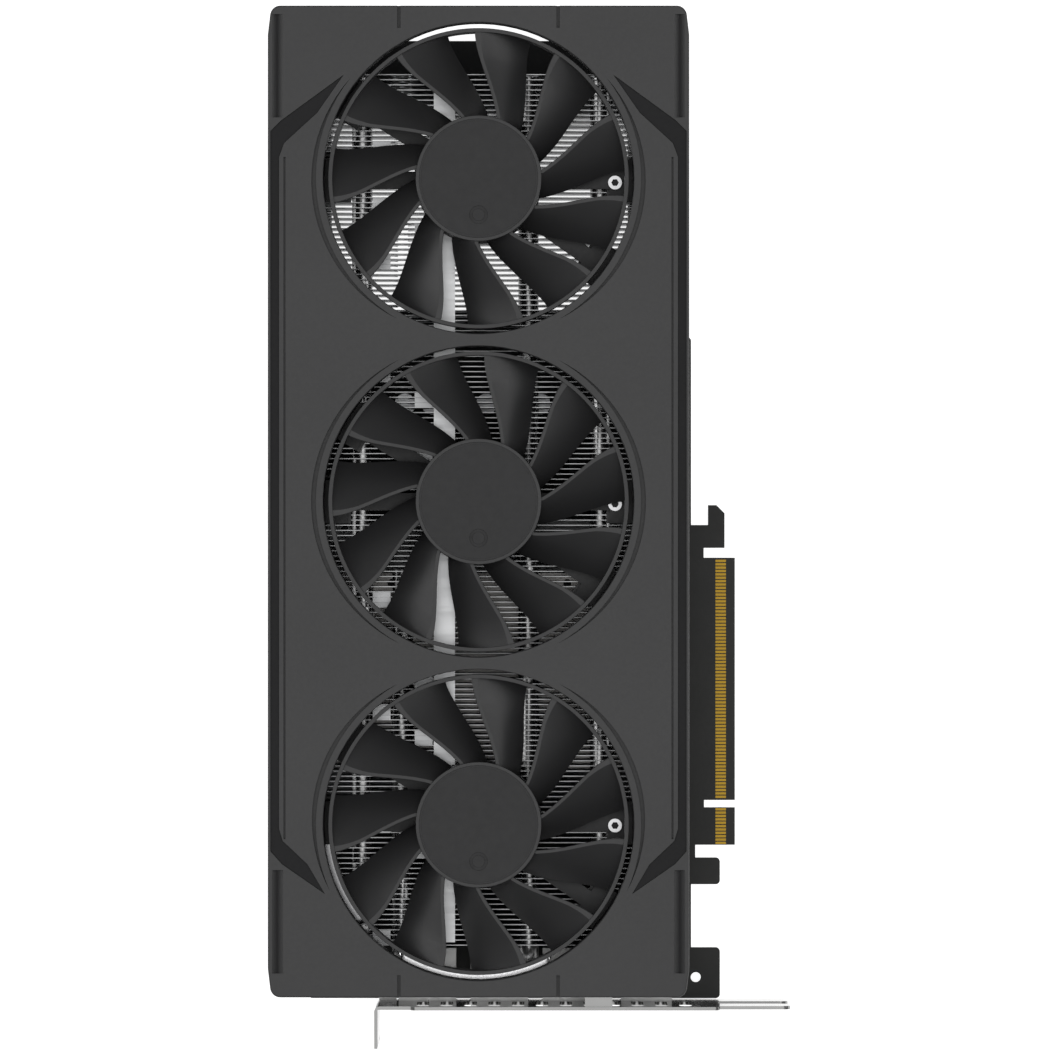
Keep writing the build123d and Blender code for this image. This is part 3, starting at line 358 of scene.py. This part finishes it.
def screw_with_painted_recess_shade(name, base, head_top):
    """Bright screw head whose sunk hexagon is dark with painted shade."""
    shader = Shader(name, base, metallic=1.0, rough=0.26)
    place = shader.node("ShaderNodeSeparateXYZ")
    shader.link(shader.coords, place.inputs["Vector"])
    depth = shader.node("ShaderNodeMapRange")
    depth.inputs["From Min"].default_value = head_top - RECESS_SHADE[0]
    depth.inputs["From Max"].default_value = head_top - RECESS_SHADE[1]
    shader.link(place.outputs["Z"], depth.inputs["Value"])
    # Painted shade: the steel colour scaled down for the recess floor.
    dark = tuple(RECESS_PAINTED_SHADE * c for c in base)
    shader.link(shader.ramp(depth.outputs["Result"], dark, base), shader.bsdf.inputs["Base Color"])
    lines = shader.noise(900.0, 5.0)
    shader.vary_rough(lines, 0.2, 0.36)
    shader.bump(lines, 0.004 * MM)
    return shader.material


NODE_FINISH = {
    "heatsink_bar": brushed("bar_aluminium", (0.57, 0.575, 0.58), 0.34, (0.06, 1, 1)),
    "fan_screws": screw_with_painted_recess_shade("fan_screw_steel_painted_recess_shade", (0.56, 0.56, 0.57), top("fan_screws")),
}


def dress_cad_nodes():
    """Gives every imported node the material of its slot, or its own finer one."""
    for row in frame["record"]["subparts"]:
        obj = nodes[row["node"]]
        obj.data.materials.clear()
        obj.data.materials.append(NODE_FINISH.get(row["node"], SLOTS[row["material_slot"]]))


dress_cad_nodes()


# -------------------------------------------------------------- mesh helpers
def mesh_object(name, points, faces, slot, sharp_degrees=35.0):
    """A mesh piece with its slot's finish, smooth apart from its sharp edges."""
    mesh = bpy.data.meshes.new(name)
    mesh.from_pydata(points, [], faces)
    mesh.validate()
    for polygon in mesh.polygons:
        polygon.use_smooth = True
    mesh.set_sharp_from_angle(angle=radians(sharp_degrees))
    mesh.materials.append(SLOTS[slot])
    obj = bpy.data.objects.new(name, mesh)
    bpy.context.scene.collection.objects.link(obj)
    return obj


CORNER_STEPS = 4


def rounded_profile(corners):
    """Corner list of (r, z, radius) turned into points with rounded corners."""
    made = []
    count = len(corners)
    for i, (r, z, radius) in enumerate(corners):
        here = Vector((r, z))
        if radius <= 0:
            made.append(here)
            continue
        before = Vector(corners[i - 1][:2]) - here
        after = Vector(corners[(i + 1) % count][:2]) - here
        start = here + before.normalized() * radius
        end = here + after.normalized() * radius
        for k in range(CORNER_STEPS + 1):
            t = k / CORNER_STEPS
            made.append((1 - t) ** 2 * start + 2 * t * (1 - t) * here + t ** 2 * end)
    return made


def polar(origin, r, angle, z):
    """Point at a radius and angle round an origin."""
    return (origin[0] + r * cos(angle), origin[1] + r * sin(angle), z)


def skin(loops, ring=False):
    """Points and faces over a row of loops, joined into a ring or capped at both ends."""
    count = len(loops[0])
    points = [point for loop in loops for point in loop]
    spans = len(loops) if ring else len(loops) - 1
    faces = []
    for k in range(spans):
        here, there = k * count, (k + 1) % len(loops) * count
        for i in range(count):
            j = (i + 1) % count
            faces.append((here + i, there + i, there + j, here + j))
    if not ring:
        faces.append(tuple(range(count)))
        faces.append(tuple(spans * count + i for i in range(count))[::-1])
    return points, faces


def lathe(profile, origin, segments=144):
    """Points and faces of a profile turned about a vertical axis."""
    return skin([[polar(origin, r, 2 * pi * k / segments, z) for r, z in profile]
                 for k in range(segments)], ring=True)


def join(parts):
    """Several (points, faces) pairs as one pair."""
    points, faces = [], []
    for some_points, some_faces in parts:
        base = len(points)
        points += some_points
        faces += [tuple(i + base for i in face) for face in some_faces]
    return points, faces


# ---------------------------------------------------------------- fan rotors
def blade_loop(radius):
    """Closed blade section on a cylinder, as (angle, z) pairs."""
    reach = (radius - HUB_R) / (RING_IN_R - HUB_R)
    sweep = radians(BLADE_SWEEP) * (1 - max(0.0, 1 - reach) ** SWEEP_POWER)
    cover = radians(HUB_COVER + reach * (RING_COVER - HUB_COVER))
    growth = max(0.0, reach - GROWTH_START) / (1 - GROWTH_START)
    flat = (LEADING_FLAT + FLAT_GROWTH * growth) / radius
    upper, lower = [], []
    for k in range(BLADE_STEPS + 1):
        t = k / BLADE_STEPS
        fall = BLADE_DROP * ((1 - DROP_BOW) * t + DROP_BOW * t * t)
        upper.append((sweep - flat - (cover - flat) * t, BLADE_TOP - fall))
        lower.append((sweep - cover * t, BLADE_TOP - BLADE_THICK - fall * UNDER_DROP))
    lip = [(sweep - flat * LIP_SHARE, BLADE_TOP), (sweep, BLADE_TOP - LIP_DROP)]
    return lower[::-1] + lip[::-1] + upper


def blade(origin, phase):
    """One swept blade, from inside the hub wall to inside the ring."""
    first, last = HUB_R - ROOT_OVERLAP, RING_IN_R + TIP_OVERLAP
    loops = []
    for n in range(BLADE_STATIONS + 1):
        radius = first + (last - first) * n / BLADE_STATIONS
        loops.append([polar(origin, radius, angle + phase, z)
                      for angle, z in blade_loop(max(radius, HUB_R))])
    return skin(loops)


def make_rotor(n):
    """Hub, blades and outer ring of one fan, and the edge round its cap."""
    badge = f"hub_badge_{n}"
    origin = centre(badge)
    hub_top = top(badge)
    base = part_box(f"fan_rotor_{n}")[0][2]
    seat = hub_top - CAP_SEAT
    rim = CAP_R + CAP_GAP
    hub = rounded_profile([
        (HUB_R, base, SOFT_EDGE), (HUB_R, hub_top, EDGE),
        (rim, hub_top, RIM_EDGE), (rim, seat, 0),
        (AXIS_R, seat, 0), (AXIS_R, SHAFT_TOP, 0), (SHAFT_R, SHAFT_TOP, 0),
        (SHAFT_R, BOSS_BOTTOM, 0), (BOSS_R, BOSS_BOTTOM, EDGE),
        (BOSS_R, HUB_ROOM_TOP, 0), (HUB_ROOM_R, HUB_ROOM_TOP, 0), (HUB_ROOM_R, base, SOFT_EDGE)])
    ring = rounded_profile([
        (RING_OUT_R, RING_Z[0], EDGE), (RING_OUT_R, RING_Z[1], CRISP_EDGE),
        (RING_IN_R, RING_Z[1], CRISP_EDGE), (RING_IN_R, RING_Z[0], EDGE)])
    parts = [lathe(hub, origin), lathe(ring, origin, RING_SEGMENTS)]
    parts += [blade(origin, radians(FAN_PHASE[n] + 360 * k / BLADES)) for k in range(BLADES)]
    rotor = mesh_object(f"rotor_{n}_blades_and_ring", *join(parts), "rotor_plastic", ROTOR_SHARP)
    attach(rotor, f"rotor_{n}")
    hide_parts(f"fan_rotor_{n}")
    # Edge of the cap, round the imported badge
    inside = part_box(badge)[1][0] - origin[0] + CAP_GAP
    edge = rounded_profile([(CAP_R, seat, 0), (CAP_R, hub_top, CAP_EDGE),
                            (inside, hub_top, 0), (inside, seat, 0)])
    cap = mesh_object(f"rotor_{n}_cap_edge", *lathe(edge, origin), "badge")
    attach(cap, f"rotor_{n}")


for number in FAN_PHASE:
    make_rotor(number)


# ------------------------------------------------------ flanges on the fin stack
FLANGE_IN_R, FLANGE_OUT_R = 43.8 * MM, 46.7 * MM
FLANGE_FOOT_R = 44.1 * MM     # narrow ends that lie on the fins, under the fan's ring
FLANGE_TAPER = 3.0            # degrees over which a foot widens
FLANGE_STEPS = 96
FLANGE_RISE = 0.24 * MM       # how far the outer edge is turned up
FLANGE_THICK = 0.4 * MM
FLANGE_PROFILE = 6


# The two flanges are one polished metal in two tones: the light colour is a painted highlight, the
# grey one painted shade.
FLANGES = {   # first and last degree, degrees of each foot, metal, its colour
    "fin_end_flange": (228.0, 309.0, 10.0, "flange_painted_highlight", (0.86, 0.86, 0.87)),
    "fin_side_flange": (185.0, 222.0, 0.0, "flange_painted_shade", (0.30, 0.30, 0.305)),
}


def make_flange(name, start, end, foot, metal, base):
    """Polished sheet round the lower edge of the near fan; its ends lie on the fins. Its colour
    carries painted light: a painted highlight on one flange, painted shade on the other.
    """
    origin = centre("hub_badge_3")
    seat = top("cooling_fins")
    loops = []
    for n in range(FLANGE_STEPS + 1):
        degrees = start + (end - start) * n / FLANGE_STEPS
        inset = min(degrees - start, end - degrees) - foot
        wide = min(1.0, max(0.0, inset / FLANGE_TAPER))
        out_r = FLANGE_FOOT_R + wide * (FLANGE_OUT_R - FLANGE_FOOT_R)
        upper, lower = [], []
        for k in range(FLANGE_PROFILE + 1):
            t = k / FLANGE_PROFILE
            r = FLANGE_IN_R + t * (out_r - FLANGE_IN_R)
            z = seat + FLANGE_RISE * t * t
            upper.append(polar(origin, r, radians(degrees), z + FLANGE_THICK))
            lower.append(polar(origin, r, radians(degrees), z))
        loops.append(lower[::-1] + upper)
    flange = mesh_object(name, *skin(loops), "can_aluminium")
    flange.data.materials[0] = brushed(metal, base, 0.12, (1, 1, 0.1), 0.0006 * MM)
    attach(flange, "card")


for flange_name, values in FLANGES.items():
    make_flange(flange_name, *values)


# ------------------------------------------------------------ floor and light
FLOOR_REACH = 3.0
FLOOR_DROP = 0.0005
FLOOR_GLOW = 0.9
SKY_STRENGTH = 0.16
LIGHTS = {   # place, target, size and power in watts
    "overhead": ((0, 0, 2.9), (0, 0, 0), (3.0, 3.0), 36),
    "left_strip": ((-1.5, 0.1, 0.7), (0, 0, 0.03), (0.5, 1.8), 7),
    "right_strip": ((1.5, 0.1, 0.7), (0, 0, 0.03), (0.5, 1.8), 7),
}


def make_floor():
    """White paper just under the backplate, glowing a little."""
    points = [(x * FLOOR_REACH, y * FLOOR_REACH, -FLOOR_DROP)
              for x, y in ((-1, -1), (1, -1), (1, 1), (-1, 1))]
    mesh = bpy.data.meshes.new("floor")
    mesh.from_pydata(points, [], [(0, 1, 2, 3)])
    floor = bpy.data.objects.new("floor", mesh)
    shader = Shader("floor_paper", (0.9, 0.9, 0.9), rough=0.9, specular=0.1)
    shader.bsdf.inputs["Emission Color"].default_value = (1, 1, 1, 1)
    shader.bsdf.inputs["Emission Strength"].default_value = FLOOR_GLOW
    mesh.materials.append(shader.material)
    bpy.context.scene.collection.objects.link(floor)


def make_light(name, place, target, size, power):
    data = bpy.data.lights.new(name, "AREA")
    data.shape = "RECTANGLE"
    data.size, data.size_y = size
    data.energy = power
    light = bpy.data.objects.new(name, data)
    light.location = place
    aim = Vector(target) - Vector(place)
    light.rotation_euler = aim.to_track_quat("-Z", "Y").to_euler()
    bpy.context.scene.collection.objects.link(light)


def make_studio():
    """Even white sky, the area lights and the plain view transform."""
    world = bpy.data.worlds.new("studio")
    world.use_nodes = True
    background = world.node_tree.nodes["Background"]
    background.inputs["Color"].default_value = (1, 1, 1, 1)
    background.inputs["Strength"].default_value = SKY_STRENGTH
    bpy.context.scene.world = world
    for light_name, values in LIGHTS.items():
        make_light(light_name, *values)
    bpy.context.scene.view_settings.view_transform = "Standard"


make_floor()
make_studio()
